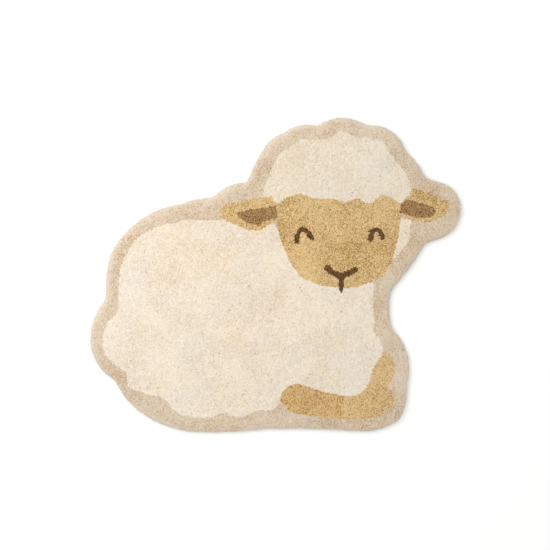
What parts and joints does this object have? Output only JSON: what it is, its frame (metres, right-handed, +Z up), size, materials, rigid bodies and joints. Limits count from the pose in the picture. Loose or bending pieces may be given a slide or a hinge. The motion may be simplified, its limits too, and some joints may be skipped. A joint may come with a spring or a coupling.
{
  "type": "lamb shaped kids rug",
  "caption": "Flat kids rug cut to the outline of a resting lamb: soft cut pile in cream, beige, gold and brown on a cloth backing.",
  "frame": {"origin": "on the ground, under the middle of the rug's bounding box", "axes": "+X along the rug from the lamb's haunch to its face, +Y from its feet to the top of its head, +Z up out of the pile"},
  "size_m": [1, 0.8476, 0.0196],
  "materials": {
    "cream_pile": "cut cotton pile, matt, cream, on the fleece",
    "border_pile": "cut cotton pile, matt, warm beige, round the edge",
    "gold_pile": "cut cotton pile, matt, golden tan, on the face, ears and legs",
    "brown_pile": "cut cotton pile, matt, mid brown, inside the ears",
    "dark_pile": "cut cotton pile, matt, dark brown, on the eyes, nose and mouth",
    "backing_cloth": "plain woven cotton, matt, undyed, on the underside"
  },
  "bodies": {
    "root": {"lamb_rug": "cream_pile"}
  },
  "joints": []
}
